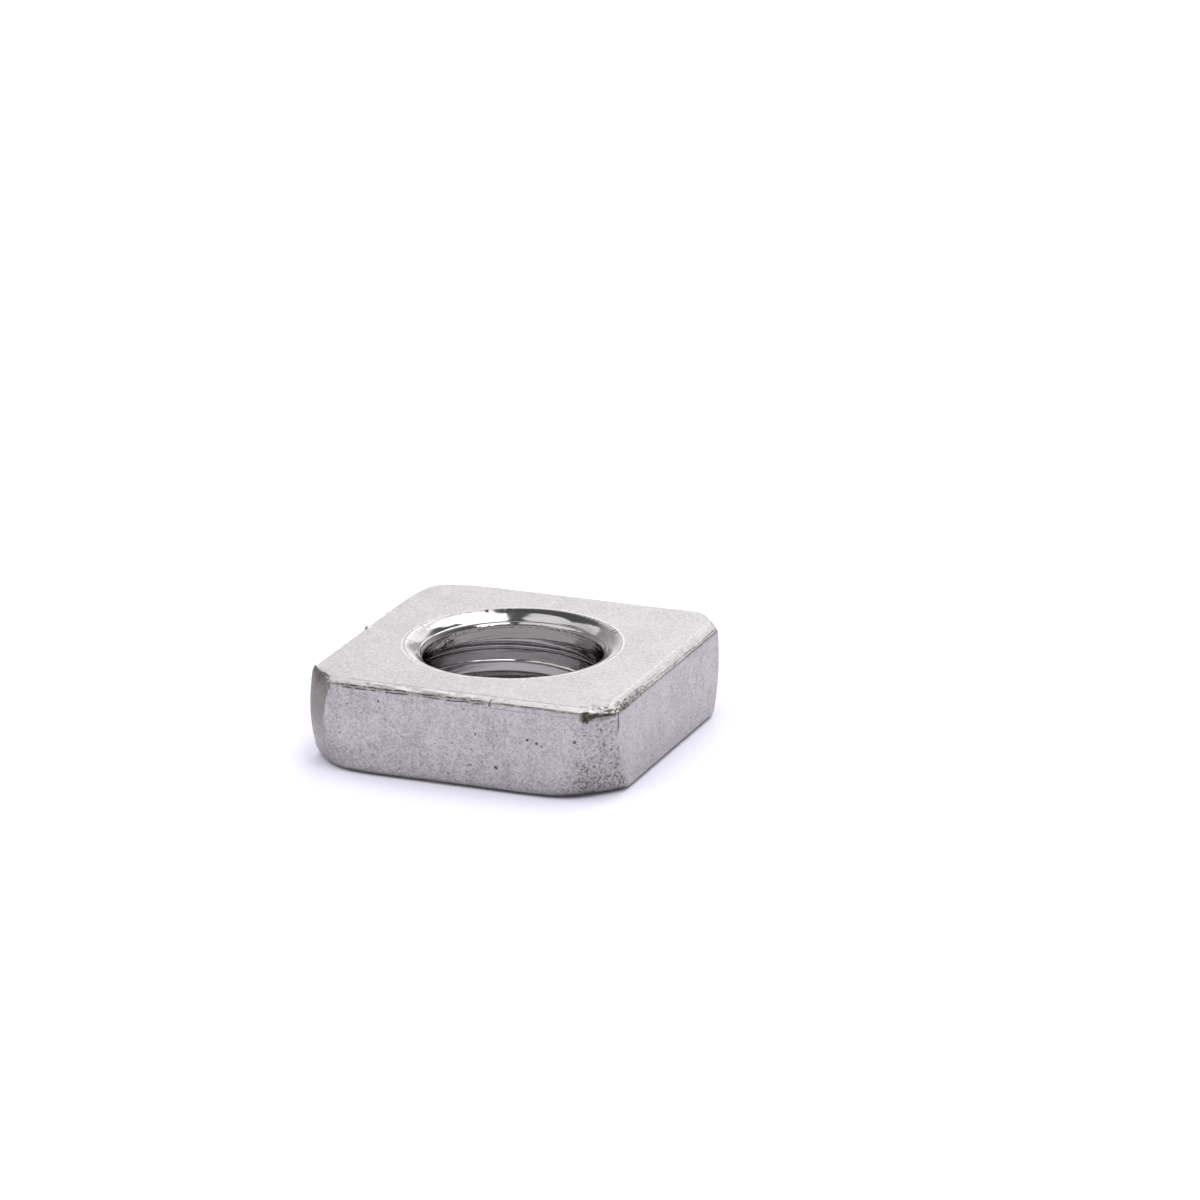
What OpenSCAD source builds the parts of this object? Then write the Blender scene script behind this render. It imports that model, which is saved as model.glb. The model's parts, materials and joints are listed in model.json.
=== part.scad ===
// Thin square nut, cold formed from one piece of stainless steel, lying on its lower face.
// The square keeps its flats, but the metal never filled the corners: they stop short of a sharp square,
// bulge from face to face, and draw in most at the lower face.

/* [Body] */
// Width across the flats
across_flats = 13; // [11:0.1:16]
// Thickness from face to face
thickness = 3.7; // [3:0.1:5]
// Rounding of the edges round the upper face
upper_edge_r = 0.25; // [0.1:0.05:0.5]
// Rounding of the edges round the lower face
lower_edge_r = 0.3; // [0.1:0.05:0.5]

/* [Corners] */
// How far each corner stops short of a sharp square, where it is fullest
corner_short = 0.85; // [0.3:0.05:1.2]
// How far below the upper face the corners are fullest
corner_full_depth = 1.3; // [1:0.1:2]
// How far the bulge of the corners draws in from there to the lower face
corner_draw = 0.5; // [0.3:0.05:1]

/* [Thread] */
// Nominal diameter of the thread
thread_d = 8; // [7:0.1:9]
// Pitch of the thread
thread_pitch = 1.25; // [0.75:0.05:1.5]
// How much wider than its basic size the hole is at the crests of the thread
crest_allowance = 0.2; // [0:0.01:0.26]
// How much wider than the thread the mouths of the two countersinks are
countersink_extra = 0.55; // [0.2:0.05:1]
// Angle between opposite walls of a countersink
countersink_angle = 124; // [100:1:140]
// How much narrower than the thread a countersink ends and its lead-in begins
lead_in_short = 0.36; // [0.2:0.01:0.6]
// Angle between opposite walls of a lead-in, which runs down to the crests of the thread
lead_in_angle = 58; // [45:1:75]
// How far the hole lies off the middle of the square, to the right
hole_x = -0.23; // [-0.5:0.01:0.5]
// How far the hole lies off the middle of the square, to the back
hole_y = 0.17; // [-0.5:0.01:0.5]

/* [Hidden] */
$fn = 128;

// Room by which a cut runs past the metal that it cuts
over = 1;
// Depth of thread that an ideal 60 degree thread takes from the hole, both sides together, per pitch
thread_depth_per_pitch = 1.0825;

half_flats = across_flats / 2;
corner_reach = across_flats / sqrt(2) - corner_short;
corner_full_z = thickness - corner_full_depth;
corner_bulge_r = (pow(corner_full_z, 2) + pow(corner_draw, 2)) / (2 * corner_draw);
crest_d = thread_d - thread_depth_per_pitch * thread_pitch + crest_allowance;
countersink_d = thread_d + countersink_extra;
lead_in_d = thread_d - lead_in_short;
countersink_depth = (countersink_d - lead_in_d) / 2 / tan(countersink_angle / 2);
lead_in_depth = countersink_depth + (lead_in_d - crest_d) / 2 / tan(lead_in_angle / 2);

// What a rounding of radius r takes from an outline, between its two tangent points.
// They lie from the rounding's centre along the two directions given.
module round_off(centre, side, end, r) {
    reach = 3 * r;
    translate(centre)
        difference() {
            polygon([[0, 0], reach * side, reach * (side + end), reach * end]);
            circle(r);
        }
}

// Section through the square from flat to flat, with its four edges rounded
module flats_section() {
    difference() {
        translate([-half_flats, 0])
            square([across_flats, thickness]);
        for (side = [-1, 1]) {
            round_off([side * (half_flats - upper_edge_r), thickness - upper_edge_r],
                      [side, 0], [0, 1], upper_edge_r);
            round_off([side * (half_flats - lower_edge_r), lower_edge_r],
                      [side, 0], [0, -1], lower_edge_r);
        }
    }
}

// Body of revolution that bounds the four corners: a barrel round the core that the flats leave whole,
// with one arc that runs past both faces
module corner_barrel() {
    rotate_extrude()
        intersection() {
            translate([0, -over])
                square([corner_reach + over, thickness + 2 * over]);
            union() {
                translate([corner_reach - corner_bulge_r, corner_full_z])
                    circle(corner_bulge_r);
                translate([0, -2 * over])
                    square([half_flats, thickness + 4 * over]);
            }
        }
}

// Prism with the section from flat to flat, long enough to pass right through the square
module flats_prism() {
    translate([0, half_flats + over, 0])
        rotate([90, 0, 0])
            linear_extrude(across_flats + 2 * over)
                flats_section();
}

// Cone that opens upwards and has the radius r at the given depth.
// It runs from a little below there to past the face.
module mouth_cone(r, depth, angle) {
    slope = tan(angle / 2);
    below = over / 5;
    translate([0, 0, -depth - below])
        cylinder(h = below + depth + over, r1 = r - below * slope, r2 = r + (depth + over) * slope);
}

// Countersink and lead-in of one end of the hole, opening upwards, with the mouth at height zero
module hole_mouth() {
    mouth_cone(lead_in_d / 2, countersink_depth, countersink_angle);
    mouth_cone(crest_d / 2, lead_in_depth, lead_in_angle);
}

// The tapped hole as it is at the crests of the thread, with a countersink and a lead-in at each face
module thread_hole() {
    translate([hole_x, hole_y, 0]) {
        translate([0, 0, -over])
            cylinder(h = thickness + 2 * over, d = crest_d);
        translate([0, 0, thickness])
            hole_mouth();
        mirror([0, 0, 1])
            hole_mouth();
    }
}

module square_nut() {
    color([0.76, 0.75, 0.75])
        difference() {
            intersection() {
                flats_prism();
                rotate([0, 0, 90])
                    flats_prism();
                corner_barrel();
            }
            thread_hole();
        }
}

square_nut();
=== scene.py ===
"""Studio scene of a thin square nut, cold formed from stainless steel, lying on a white table.

One rule gives the nut's form all the way round its hole: how far the metal reaches at each angle and height,
and where the thread has cut it away. A geometry node tree works that rule out, in millimetres. Finishes,
table, lamps and camera are classes of their own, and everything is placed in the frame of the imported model.
"""

from __future__ import annotations

import json
import logging
import math
from dataclasses import dataclass, field, fields
from enum import Enum
from typing import Any, Union

import bmesh
import bpy
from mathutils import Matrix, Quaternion, Vector

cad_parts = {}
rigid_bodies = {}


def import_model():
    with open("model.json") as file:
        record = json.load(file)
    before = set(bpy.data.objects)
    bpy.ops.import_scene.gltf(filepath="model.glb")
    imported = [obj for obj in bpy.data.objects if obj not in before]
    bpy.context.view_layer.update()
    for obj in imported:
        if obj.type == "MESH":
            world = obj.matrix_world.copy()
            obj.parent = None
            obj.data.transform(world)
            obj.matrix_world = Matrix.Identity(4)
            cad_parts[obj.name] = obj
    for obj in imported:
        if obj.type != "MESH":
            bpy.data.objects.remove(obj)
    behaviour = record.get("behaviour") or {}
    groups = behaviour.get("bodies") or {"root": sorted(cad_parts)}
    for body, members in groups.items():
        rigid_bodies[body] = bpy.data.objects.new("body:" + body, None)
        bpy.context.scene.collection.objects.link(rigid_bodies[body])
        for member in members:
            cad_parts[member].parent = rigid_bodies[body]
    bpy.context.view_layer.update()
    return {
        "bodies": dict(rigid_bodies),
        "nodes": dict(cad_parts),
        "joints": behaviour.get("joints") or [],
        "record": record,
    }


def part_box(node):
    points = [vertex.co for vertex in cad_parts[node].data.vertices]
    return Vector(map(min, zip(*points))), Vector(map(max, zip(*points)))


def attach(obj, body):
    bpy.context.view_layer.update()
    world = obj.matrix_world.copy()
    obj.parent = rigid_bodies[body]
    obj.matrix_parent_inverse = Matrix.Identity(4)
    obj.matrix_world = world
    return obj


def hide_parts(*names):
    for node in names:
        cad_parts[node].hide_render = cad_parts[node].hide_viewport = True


LOG = logging.getLogger("square_nut")

MM = 0.001
MM_PER_M = 1000.0
NODE = "square_nut"

Socket = bpy.types.NodeSocket
Number = Union[float, "Field"]
Pair = tuple[float, float]
Colour = tuple[float, float, float]
Point = tuple[float, float, float]
Rgba = tuple[float, float, float, float]


class Corner(Enum):
    """The four corners, named as the camera sees them, with the signs of their x and y."""

    LEFT = (-1, -1)
    FRONT = (1, -1)
    RIGHT = (1, 1)
    BACK = (-1, 1)


class Side(Enum):
    """The four flats, named as the camera sees them."""

    FRONT = "front"
    RIGHT = "right"
    BACK = "back"
    LEFT = "left"


class Mask(Enum):
    """Attributes of the nut's mesh that tell its finish which surface it is on."""

    HOLE = "hole"
    CORNER = "corner"
    FLANK = "flank"


class Field:
    """A number or vector that varies over a surface, carried by a link of a node tree."""

    def __init__(self, tree: Tree, socket: Socket) -> None:
        """Keeps the tree and the output socket that the value comes from."""
        self.tree = tree
        self.socket = socket

    def __add__(self, other: Number) -> Field:
        """Adds a number or a field."""
        return self.tree.math("ADD", self, other)

    def __radd__(self, other: Number) -> Field:
        """Adds this field to a number."""
        return self.tree.math("ADD", other, self)

    def __sub__(self, other: Number) -> Field:
        """Takes away a number or a field."""
        return self.tree.math("SUBTRACT", self, other)

    def __rsub__(self, other: Number) -> Field:
        """Takes this field away from a number."""
        return self.tree.math("SUBTRACT", other, self)

    def __mul__(self, other: Number) -> Field:
        """Multiplies by a number or a field."""
        return self.tree.math("MULTIPLY", self, other)

    def __truediv__(self, other: Number) -> Field:
        """Divides by a number or a field."""
        return self.tree.math("DIVIDE", self, other)

    def __abs__(self) -> Field:
        """Gives the size without the sign."""
        return self.tree.math("ABSOLUTE", self)


class Tree:
    """A node tree, geometry or shader, that is written as arithmetic on fields."""

    def __init__(self, nodes: bpy.types.NodeTree) -> None:
        """Keeps the node tree that is written to."""
        self.nodes = nodes

    def node(self, kind: str, inputs: dict[Any, Any] | None = None, **settings: Any) -> bpy.types.Node:
        """Adds a node.

        Args:
            kind: The node's type.
            inputs: Values or fields for its input sockets, by socket name or number.
            **settings: The node's own settings.

        Returns:
            The new node.
        """
        node = self.nodes.nodes.new(kind)
        for name, value in settings.items():
            setattr(node, name, value)
        for name, value in (inputs or {}).items():
            self.plug(node.inputs[name], value)
        return node

    def plug(self, socket: Socket, value: Any) -> None:
        """Links a field to an input socket, or sets a constant there.

        Args:
            socket: The input socket.
            value: A field, an output socket or a constant.
        """
        if isinstance(value, Field):
            self.nodes.links.new(value.socket, socket)
        elif isinstance(value, bpy.types.NodeSocket):
            self.nodes.links.new(value, socket)
        else:
            socket.default_value = value

    def value(self, kind: str, inputs: dict[Any, Any], output: Any = 0, **settings: Any) -> Field:
        """Adds a node and gives one of its outputs."""
        return Field(self, self.node(kind, inputs, **settings).outputs[output])

    def math(self, operation: str, *values: Number) -> Field:
        """Works out one arithmetic step."""
        return self.value("ShaderNodeMath", dict(enumerate(values)), operation=operation)

    def clamp(self, value: Number, low: Number = 0.0, high: Number = 1.0) -> Field:
        """Holds a value between two limits."""
        return self.value("ShaderNodeClamp", {"Value": value, "Min": low, "Max": high})

    def step(self, value: Number, low: Number, high: Number) -> Field:
        """Rises smoothly from 0 to 1 as a value goes from one limit to the other."""
        inputs = {"Value": value, "From Min": low, "From Max": high}
        return self.value("ShaderNodeMapRange", inputs, interpolation_type="SMOOTHSTEP")

    def mix(self, first: Number, second: Number, share: Number) -> Field:
        """Blends two numbers by the share of the second."""
        return self.value("ShaderNodeMix", {0: share, 2: first, 3: second})

    def mix_colour(self, first: Any, second: Any, share: Number) -> Field:
        """Blends two colours by the share of the second."""
        ends = [(*end, 1.0) if isinstance(end, tuple) else end for end in (first, second)]
        return self.value("ShaderNodeMix", {0: share, 6: ends[0], 7: ends[1]}, 2, data_type="RGBA")

    def combine(self, x: Number, y: Number, z: Number) -> Field:
        """Makes a vector of three numbers."""
        return self.value("ShaderNodeCombineXYZ", {0: x, 1: y, 2: z})

    def separate(self, vector: Any) -> tuple[Field, Field, Field]:
        """Takes a vector apart into its three numbers."""
        node = self.node("ShaderNodeSeparateXYZ", {0: vector})
        return tuple(Field(self, output) for output in node.outputs)

    def vector(self, operation: str, first: Any, second: Any = None) -> Field:
        """Works out one step of vector arithmetic.

        Args:
            operation: The vector math node's operation.
            first: The first operand.
            second: The second one, a number for SCALE, or None where there is none.

        Returns:
            The result, a vector or a number.
        """
        inputs = {0: first}
        if second is not None:
            inputs["Scale" if operation == "SCALE" else 1] = second
        output = "Value" if operation in ("LENGTH", "DOT_PRODUCT") else "Vector"
        return self.value("ShaderNodeVectorMath", inputs, output, operation=operation)

    def distance(self, where: Any, centre: Point, spread: Point) -> Field:
        """Gives how far a point lies from a centre, as a share of the spread in each direction."""
        away = self.vector("DIVIDE", self.vector("SUBTRACT", where, centre), spread)
        return self.vector("LENGTH", away)

    def noise(
        self, where: Any, scale: float, detail: float = 2.0, roughness: float = 0.5, swirl: float = 0.0
    ) -> Field:
        """Gives smooth noise, mostly between 0.3 and 0.7.

        Args:
            where: The point, in millimetres.
            scale: Features per millimetre.
            detail: Octaves of finer noise.
            roughness: Strength of the finer noise.
            swirl: How far the features are drawn out into swirls.

        Returns:
            The noise at that point.
        """
        inputs = {"Vector": where, "Scale": scale, "Detail": detail, "Roughness": roughness}
        return self.value("ShaderNodeTexNoise", {**inputs, "Distortion": swirl})


def empty_tree(owner: bpy.types.ID) -> Tree:
    """Empties the node tree of a material or world.

    Args:
        owner: The material or world.

    Returns:
        Its tree.
    """
    owner.use_nodes = True
    owner.node_tree.nodes.clear()
    return Tree(owner.node_tree)


def new_object(name: str, data: bpy.types.ID) -> bpy.types.Object:
    """Adds an object to the scene.

    Args:
        name: Its name.
        data: Its mesh, lamp or camera.

    Returns:
        The object.
    """
    added = bpy.data.objects.new(name, data)
    bpy.context.collection.objects.link(added)
    return added


@dataclass(frozen=True)
class CornerForm:
    """How one corner was left unfilled, in millimetres.

    It is fullest at one height, and draws in from there to both faces. Its edges to the flats across x and
    across y are crisp or blended, at the top and at the bottom. Its upper and lower edges are rounded by a
    share of the rounding of the flats next to it.
    """

    short: float
    full_z: float
    upper_draw: float
    lower_draw: float
    blend_to_x_side: float
    blend_to_y_side: float
    low_blend: float
    edge_share: float = 1.25


@dataclass(frozen=True)
class EdgeForm:
    """Rounding of a flat's edges, in millimetres: how far the upper reaches in and down, and the lower."""

    upper_in: float
    upper_down: float
    lower: float


@dataclass(frozen=True)
class Dent:
    """A knock in the metal, in millimetres: where it is, how far it spreads and how it moved the surface."""

    FULL_SHARE = 0.15

    centre: Point
    spread: Point
    push: Point

    def move(self, tree: Tree, position: Any) -> Field:
        """Gives the move of every point, as a vector field."""
        away = tree.distance(position, self.centre, self.spread)
        return tree.vector("SCALE", self.push, 1.0 - tree.step(away, self.FULL_SHARE, 1.0))


@dataclass(frozen=True)
class Chafing:
    """A stretch of chafed metal, in millimetres: its place and spread, how fine and how deep it is."""

    FULL_SHARE = 0.4

    centre: Point
    spread: Point
    fineness: float
    depth: float

    def move(self, tree: Tree, position: Any) -> Field:
        """Gives how far every point moves along its normal."""
        share = 1.0 - tree.step(tree.distance(position, self.centre, self.spread), self.FULL_SHARE, 1.0)
        return (tree.noise(position, self.fineness) - 0.5) * self.depth * share


class NutRule:
    """The rule that places every point of the nut, written as node arithmetic in millimetres."""

    CROWDING = 0.62
    BEVEL = 0.9
    SMALLEST_COSINE = 1e-4
    SQUARE_BLEND = 0.05
    SIDE_LEAN = 1.0
    CORNER_LEAN = 0.2
    LOW_BLEND = (0.5, 2.3)
    MASK_EDGE = (-0.03, 0.12)
    MASK_SOFTNESS = 0.4
    FLANK_END = (0.2, 1.3)
    RIM_R = 4.0
    RAGGED = (0.38, 0.68)
    LIFTED = (0.4, 0.7)
    LIP_WIDTH = 0.1
    RIDGE_WIDTH = 0.02
    RIDGE_SHARE = 0.731
    RIDGE_CROWDING = 0.6
    BURR_WIDTH = 0.035
    THREAD_BLEND = 0.12
    THREAD_RUN_IN = (-0.05, 0.1)
    FLANK_SLOPE = math.sqrt(3.0)

    def __init__(self, tree: Tree, sizes: dict[str, Field], nut: SquareNut) -> None:
        """Works out what all parts of the surface share: the angle round the hole and the corner there.

        Args:
            tree: The tree that is written.
            sizes: Its named inputs.
            nut: The nut, for its corners, edges and ring counts.
        """
        self.tree = tree
        self.sizes = sizes
        self.nut = nut
        position = tree.node("GeometryNodeInputPosition").outputs[0]
        across, along, _ = tree.separate(position)
        turn = (across + 0.5) * math.tau
        self.along = along + 0.5
        corners = float(len(Corner))
        self.angle = turn + tree.math("SINE", turn * corners) * (self.CROWDING / corners)
        self.cos = tree.math("COSINE", self.angle)
        self.sin = tree.math("SINE", self.angle)
        self.is_right = tree.math("GREATER_THAN", self.cos, 0.0)
        self.is_back = tree.math("GREATER_THAN", self.sin, 0.0)
        self.half = sizes["Across flats"] * 0.5
        self.lean = self._lean()
        self.upper_in = self._by_side("upper_in")
        self.upper_down = self._by_side("upper_down")
        self.lower_r = self._by_side("lower")
        self.on_rim = tree.combine(self.cos * self.RIM_R, self.sin * self.RIM_R, 0.0)
        self.ragged = tree.step(tree.noise(self.on_rim, scale=7.0), *self.RAGGED)

    def _by_corner(self, name: str) -> Field:
        """Picks a corner's value by the quarter that the angle lies in.

        Args:
            name: The value's name in CornerForm.

        Returns:
            The value at each angle.
        """
        values = {corner: getattr(form, name) for corner, form in self.nut.corners.items()}
        front = self.tree.mix(values[Corner.LEFT], values[Corner.FRONT], self.is_right)
        back = self.tree.mix(values[Corner.BACK], values[Corner.RIGHT], self.is_right)
        return self.tree.mix(front, back, self.is_back)

    def _by_side(self, name: str) -> Field:
        """Picks a flat's value, blended from flat to flat round the corners.

        Args:
            name: The value's name in EdgeForm.

        Returns:
            The value at each angle.
        """
        values = {side: getattr(form, name) for side, form in self.nut.edges.items()}
        on_x = self.tree.mix(values[Side.LEFT], values[Side.RIGHT], self.is_right)
        on_y = self.tree.mix(values[Side.FRONT], values[Side.BACK], self.is_back)
        return self.tree.mix(on_y, on_x, self.lean)

    def _flats(self, inset: Number) -> tuple[Field, Field]:
        """Gives the ways from the hole's axis to the flats.

        Args:
            inset: How far an edge's rounding has drawn in from them.

        Returns:
            The ways to the flats across x and across y.
        """
        ways = []
        for cosine, positive, offset in (
            (self.cos, self.is_right, self.sizes["Hole x"]),
            (self.sin, self.is_back, self.sizes["Hole y"]),
        ):
            sign = positive * 2.0 - 1.0
            steepness = self.tree.math("MAXIMUM", abs(cosine), self.SMALLEST_COSINE)
            ways.append((self.half - inset - offset * sign) / steepness)
        return ways[0], ways[1]

    def _lean(self) -> Field:
        """Tells how far the nearest flat is one across x (1) or across y (0)."""
        to_x, to_y = self._flats(0.0)
        return self.tree.step(to_y - to_x, -self.SIDE_LEAN, self.SIDE_LEAN)

    def _draw(self, height: Number) -> Field:
        """Gives how far a corner has drawn in above or below its fullest point.

        Args:
            height: Height above the lower face.

        Returns:
            How far it has drawn in.
        """
        full_z = self._by_corner("full_z")
        rise = self.tree.math("MAXIMUM", height - full_z, 0.0) / (self.sizes["Thickness"] - full_z)
        fall = self.tree.math("MAXIMUM", full_z - height, 0.0) / full_z
        return rise * rise * self._by_corner("upper_draw") + fall * fall * self._by_corner("lower_draw")

    def outline(self, inset: Number, height: Number) -> tuple[Field, Field]:
        """Gives the outer wall.

        Args:
            inset: How far an edge's rounding has drawn in from the flat.
            height: Height above the lower face.

        Returns:
            The way from the hole's axis to the wall, and how much of a corner the wall is there.
        """
        tree = self.tree
        to_x, to_y = self._flats(inset)
        flats = tree.math("SMOOTH_MIN", to_x, to_y, self.SQUARE_BLEND)
        reach = self.half * math.sqrt(2.0) - self._by_corner("short") - self._draw(height)
        reach = reach - inset * self._by_corner("edge_share")
        hole_x, hole_y = self.sizes["Hole x"], self.sizes["Hole y"]
        ahead = hole_x * self.cos + hole_y * self.sin
        off_axis = hole_x * hole_x + hole_y * hole_y
        to_barrel = tree.math("SQRT", ahead * ahead - off_axis + reach * reach) - ahead
        lean = tree.step(to_y - to_x, -self.CORNER_LEAN, self.CORNER_LEAN)
        low_blend = self._by_corner("low_blend") * (1.0 - tree.step(height, *self.LOW_BLEND))
        blend_y = self._by_corner("blend_to_y_side") + low_blend
        blend = tree.mix(blend_y, self._by_corner("blend_to_x_side"), lean)
        wall = tree.math("SMOOTH_MIN", flats, to_barrel, blend)
        soft = blend * self.MASK_SOFTNESS
        return wall, tree.step(flats - to_barrel, self.MASK_EDGE[0] - soft, self.MASK_EDGE[1] + soft)

    def place(self, radius: Number, height: Number) -> Field:
        """Makes a point.

        Args:
            radius: Its way from the hole's axis.
            height: Its height above the lower face.

        Returns:
            The point.
        """
        x = self.sizes["Hole x"] + self.cos * radius
        y = self.sizes["Hole y"] + self.sin * radius
        return self.tree.combine(x, y, height)

    def _section(self, ring: Field, start: int, count: int) -> Field:
        """Goes from 0 to 1 over some of a grid's rings."""
        return self.tree.clamp((ring - float(start)) / float(count))

    def _crowded(self, share: Field) -> Field:
        """Crowds a mouth's rings round its ridge, and leaves the first and the last where they are.

        Args:
            share: Even shares of the way down the mouth.

        Returns:
            The crowded shares.
        """
        turn = self.RIDGE_SHARE * math.tau
        wave = self.tree.math("SINE", share * math.tau - turn) + math.sin(turn)
        return share - wave * (self.RIDGE_CROWDING / math.tau)

    def _hump(self, way: Field, width: float) -> Field:
        """Falls from 1 where a way is zero to 0 on both sides."""
        share = way / width
        return self.tree.math("EXPONENT", 0.0 - share * share)

    def wall(self) -> tuple[Field, Field, Field]:
        """Gives the side wall: lower rounding, flat or corner, upper rounding.

        Returns:
            The point, the corner mask and the flank mask.
        """
        tree = self.tree
        rings = self.nut.rings
        quarter = math.pi / 2.0
        ring = self.along * float(rings.wall_total)
        lower = self._section(ring, 0, rings.edge) * quarter
        flat = self._section(ring, rings.edge, rings.wall)
        run = self._section(ring, rings.edge + rings.wall, rings.edge)
        upper = run * quarter
        inwards = tree.mix(1.0 - tree.math("COSINE", upper), run, self.BEVEL)
        upwards = tree.mix(tree.math("SINE", upper), run, self.BEVEL)
        inset = self.lower_r * (1.0 - tree.math("SINE", lower)) + self.upper_in * inwards
        straight = self.sizes["Thickness"] - self.lower_r - self.upper_down
        height = self.lower_r * (1.0 - tree.math("COSINE", lower)) + flat * straight
        height = height + self.upper_down * upwards
        radius, corner = self.outline(inset, height)
        flank = 1.0 - tree.step(upper, *self.FLANK_END)
        return self.place(radius, height), corner, flank

    def face(self, upper: bool) -> Field:
        """Gives the upper or the lower face, from its outer edge to the mouth of the hole.

        Args:
            upper: Whether it is the upper face.

        Returns:
            The point.
        """
        height = self.sizes["Thickness"] * float(upper)
        outer, _ = self.outline(self.upper_in if upper else self.lower_r, height)
        inner = self.sizes["Countersink diameter"] * 0.5 + self.sizes["Mouth rounding"]
        eased = 0.5 - self.tree.math("COSINE", self.along * math.pi) * 0.5
        radius = self.tree.mix(outer, inner, eased)
        if upper:
            height = height + self.rim_lift() * self._hump(radius - inner, self.LIP_WIDTH)
        return self.place(radius, height)

    def rim_lift(self) -> Field:
        """Gives how far the punched rim of the hole stands up above the upper face."""
        stretches = self.tree.noise(self.on_rim, scale=0.6, detail=1.0)
        return self.ragged * self.tree.step(stretches, *self.LIFTED) * self.sizes["Rim lip"]

    def thread(self, height: Field) -> Field:
        """Gives the wall of the threaded hole: root, flanks and crest of a right-hand helix.

        Args:
            height: Height above the lower face.

        Returns:
            The radius of the wall.
        """
        tree = self.tree
        pitch = self.sizes["Pitch"]
        turns = height / pitch - self.angle / math.tau + self.sizes["Thread start"]
        from_root = abs(turns - tree.math("ROUND", turns)) * pitch
        root = self.sizes["Thread diameter"] * 0.5
        crest = self.sizes["Crest diameter"] * 0.5
        flank = root - (from_root - self.sizes["Root width"] * 0.5) * self.FLANK_SLOPE
        cut = tree.math("SMOOTH_MIN", flank, root, self.THREAD_BLEND)
        return tree.math("SMOOTH_MAX", cut, crest, self.THREAD_BLEND)

    def _bore(self, height: Field, depth: Field, edge: Field, lead_r: Field) -> Field:
        """Gives the wall between the hole's two mouths: lead-in, burr, thread, burr, lead-in.

        Args:
            height: Height above the lower face.
            depth: Depth below the nearer face.
            edge: Depth at which a mouth ends.
            lead_r: Radius at which a mouth ends.

        Returns:
            The radius of the wall.
        """
        lead_end = self.sizes["Lead in depth"]
        crest = self.sizes["Crest diameter"] * 0.5
        lead = lead_r - (depth - edge) * (lead_r - crest) / (lead_end - edge)
        filled = 1.0 - self.tree.step(depth - lead_end, *self.THREAD_RUN_IN)
        wall = self.tree.mix(self.thread(height), lead, filled)
        burr = self._hump(depth - self.sizes["Burr depth"], self.BURR_WIDTH) * self.ragged
        return wall - burr * self.sizes["Burr"]

    def hole(self) -> Field:
        """Gives the hole: a mouth that arches down from the rim and carries a ridge, the bore, a lower mouth.

        Returns:
            The point.
        """
        tree = self.tree
        sizes = self.sizes
        rings = self.nut.rings
        ring = self.along * float(rings.hole_total)
        top = self._crowded(self._section(ring, 0, rings.mouth))
        middle = self._section(ring, rings.mouth, rings.thread)
        bottom = 1.0 - self._section(ring, rings.mouth + rings.thread, rings.low_mouth)
        half_angle = sizes["Countersink angle"] * 0.5
        mouth_r = sizes["Countersink diameter"] * 0.5
        rounding = sizes["Mouth rounding"]
        rim_drop = rounding * tree.math("TANGENT", sizes["Rim slope"])
        reach_in = sizes["Countersink length"] * tree.math("SINE", half_angle)
        edge = rim_drop + sizes["Countersink length"] * tree.math("COSINE", half_angle)
        thickness = sizes["Thickness"]
        height = thickness - edge - middle * (thickness - edge * 2.0)
        depth = tree.math("MINIMUM", thickness - height, height)
        wall = self._bore(height, depth, edge, mouth_r - reach_in)
        is_top = tree.math("LESS_THAN", ring, rings.mouth - 0.5)
        is_bottom = tree.math("GREATER_THAN", ring, rings.mouth + rings.thread + 0.5)
        for share, inside, is_upper in ((top, is_top, True), (bottom, is_bottom, False)):
            left = 1.0 - share
            fall = share * left * rim_drop * 2.0 + share * share * edge
            ridge = self._hump(fall - sizes["Ridge depth"], self.RIDGE_WIDTH) * sizes["Ridge"]
            arch = mouth_r + left * left * rounding - share * share * reach_in - ridge
            wall = tree.mix(wall, arch, inside)
            level = thickness - fall + self.rim_lift() * left * left * left if is_upper else fall
            height = tree.mix(height, level, inside)
        return self.place(wall, height)


@dataclass(frozen=True)
class Rings:
    """How many rings of faces each stretch of the nut's surface has."""

    around: int = 480
    edge: int = 7
    wall: int = 34
    face: int = 16
    mouth: int = 24
    low_mouth: int = 10
    thread: int = 80

    @property
    def wall_total(self) -> int:
        """Rings of the side wall with both roundings."""
        return self.wall + 2 * self.edge

    @property
    def hole_total(self) -> int:
        """Rings of the hole with both mouths."""
        return self.mouth + self.thread + self.low_mouth


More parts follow.
